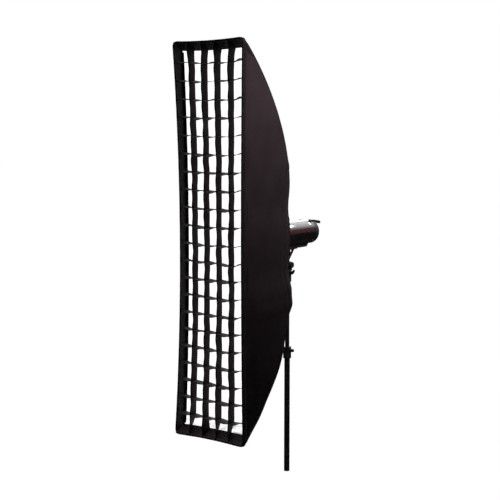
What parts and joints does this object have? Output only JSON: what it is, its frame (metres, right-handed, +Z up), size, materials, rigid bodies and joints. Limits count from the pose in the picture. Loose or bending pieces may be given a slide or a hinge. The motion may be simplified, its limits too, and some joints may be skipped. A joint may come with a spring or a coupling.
{
  "type": "strip softbox light",
  "caption": "Tall strip softbox with a fabric egg-crate grid on a tubular flash head, held by a tilting bracket on the telescopic upper part of a light stand.",
  "frame": {"origin": "centre of the stand tube's lower end", "axes": "+Z up along the stand tube, the softbox faces -Y, +X is the side with the clamp knobs"},
  "size_m": [0.35, 0.7935, 1.87],
  "materials": {
    "stand_paint": "semi-gloss black powder coat",
    "clamp_plastic": "fine moulded texture",
    "bush_nylon": "smooth nylon",
    "steel": "zinc plated",
    "bracket_paint": "black powder coat on a casting",
    "head_paint": "gloss black",
    "cap_plastic": "moulded, satin",
    "stripe_red": "dark red gloss",
    "band_grey": "grey satin",
    "reflector": "bright",
    "tube_glass": "clear quartz",
    "ceramic": "unglazed",
    "dome_glass": "clear",
    "board_green": "solder mask",
    "capacitor_sleeve": "shrink sleeve",
    "window_dark": "polished",
    "button_red": "moulded",
    "button_grey": "moulded",
    "switch_black": "moulded",
    "ring_metal": "satin machined",
    "rod_fibre": "glass fibre rod",
    "shell_cloth": "black woven polyester",
    "hem_cloth": "black binding tape",
    "grid_cloth": "stiff black woven strip",
    "diffuser_cloth": "thin white nylon"
  },
  "bodies": {
    "stand": {"stand_tube": "stand_paint", "stand_collar": "clamp_plastic", "collar_bush": "bush_nylon"},
    "collar_knob": {"collar_knob": "clamp_plastic"},
    "riser": {"riser_tube": "stand_paint", "riser_plug": "bush_nylon", "stand_spigot": "steel"},
    "socket": {"bracket_socket": "bracket_paint", "tilt_bolt": "steel", "tilt_washers": "steel"},
    "spigot_lever": {"spigot_lever": "clamp_plastic"},
    "tilt_knob": {"tilt_knob": "clamp_plastic"},
    "head": {"tilt_arm": "bracket_paint", "arm_screws": "steel", "head_barrel": "head_paint", "front_mount_ring": "bracket_paint", "rear_cap": "cap_plastic", "bottom_rail": "bracket_paint", "rear_handle": "cap_plastic", "side_stripes": "stripe_red", "side_bands": "band_grey", "reflector_plate": "reflector", "flash_tube": "tube_glass", "lamp_socket": "ceramic", "modelling_lamp": "tube_glass", "glass_dome": "dome_glass", "circuit_board": "board_green", "capacitors": "capacitor_sleeve", "fan_frame": "cap_plastic", "display_window": "window_dark", "power_inlet": "clamp_plastic", "fuse_cap": "clamp_plastic", "sync_jack": "steel", "cap_screws": "steel", "adapter_plate": "ring_metal", "ring_retainer": "ring_metal"},
    "release_slider": {"release_slider": "steel"},
    "fan": {"fan_rotor": "cap_plastic"},
    "power_dial": {"power_dial": "clamp_plastic"},
    "test_button": {"test_button": "button_red"},
    "model_button": {"model_button": "button_grey"},
    "slave_button": {"slave_button": "button_grey"},
    "power_switch": {"power_switch": "switch_black"},
    "softbox": {"speedring": "ring_metal", "rod_upper_right": "rod_fibre", "rod_upper_left": "rod_fibre", "rod_lower_right": "rod_fibre", "rod_lower_left": "rod_fibre", "rod_caps": "clamp_plastic", "side_panel_right": "shell_cloth", "side_panel_left": "shell_cloth", "top_panel": "shell_cloth", "bottom_panel": "shell_cloth", "front_hem": "hem_cloth", "back_sleeve": "hem_cloth", "inner_diffuser": "diffuser_cloth", "front_diffuser": "diffuser_cloth", "diffuser_border": "hem_cloth", "grid": "grid_cloth"},
    "ring_lock_screw": {"ring_lock_screw": "clamp_plastic"}
  },
  "joints": [
    {"name": "riser_slide", "type": "slide", "parent": "stand", "child": "riser", "axis": [0, 0, 1], "range_m": [-0.18, 0.28]},
    {"name": "collar_knob_turn", "type": "hinge", "parent": "stand", "child": "collar_knob", "pos_m": [0.027, 0, 0.551], "axis": [1, 0, 0], "range_deg": [0, 360]},
    {"name": "head_swivel", "type": "hinge", "parent": "riser", "child": "socket", "pos_m": [0, 0, 0.898], "axis": [0, 0, 1], "continuous": true},
    {"name": "spigot_lever_turn", "type": "hinge", "parent": "socket", "child": "spigot_lever", "pos_m": [0.024, 0, 0.898], "axis": [1, 0, 0], "range_deg": [0, 270]},
    {"name": "tilt_knob_turn", "type": "hinge", "parent": "socket", "child": "tilt_knob", "pos_m": [0.021, 0, 0.933], "axis": [1, 0, 0], "range_deg": [0, 360]},
    {"name": "head_tilt", "type": "hinge", "parent": "socket", "child": "head", "pos_m": [0, 0, 0.933], "axis": [1, 0, 0], "range_deg": [-60, 20]},
    {"name": "box_rotate", "type": "hinge", "parent": "head", "child": "softbox", "pos_m": [0, -0.118, 1.07], "axis": [0, 1, 0], "continuous": true},
    {"name": "ring_screw_turn", "type": "hinge", "parent": "softbox", "child": "ring_lock_screw", "pos_m": [0.079, -0.11805, 1.07], "axis": [1, 0, 0], "range_deg": [0, 360]},
    {"name": "release_slide", "type": "slide", "parent": "head", "child": "release_slider", "axis": [0, 1, 0], "range_m": [0, 0.004], "stiffness_N_per_m": 400},
    {"name": "fan_spin", "type": "hinge", "parent": "head", "child": "fan", "pos_m": [0, 0.106, 1.07], "axis": [0, 1, 0], "continuous": true},
    {"name": "dial_turn", "type": "hinge", "parent": "head", "child": "power_dial", "pos_m": [0.024, 0.188, 1.072], "axis": [0, 1, 0], "continuous": true},
    {"name": "test_press", "type": "slide", "parent": "head", "child": "test_button", "axis": [0, -1, 0], "range_m": [0, 0.002], "stiffness_N_per_m": 400},
    {"name": "model_press", "type": "slide", "parent": "head", "child": "model_button", "axis": [0, -1, 0], "range_m": [0, 0.002], "stiffness_N_per_m": 400},
    {"name": "slave_press", "type": "slide", "parent": "head", "child": "slave_button", "axis": [0, -1, 0], "range_m": [0, 0.002], "stiffness_N_per_m": 400},
    {"name": "power_rock", "type": "hinge", "parent": "head", "child": "power_switch", "pos_m": [-0.026, 0.176, 1.05], "axis": [1, 0, 0], "range_deg": [0, 16]}
  ]
}
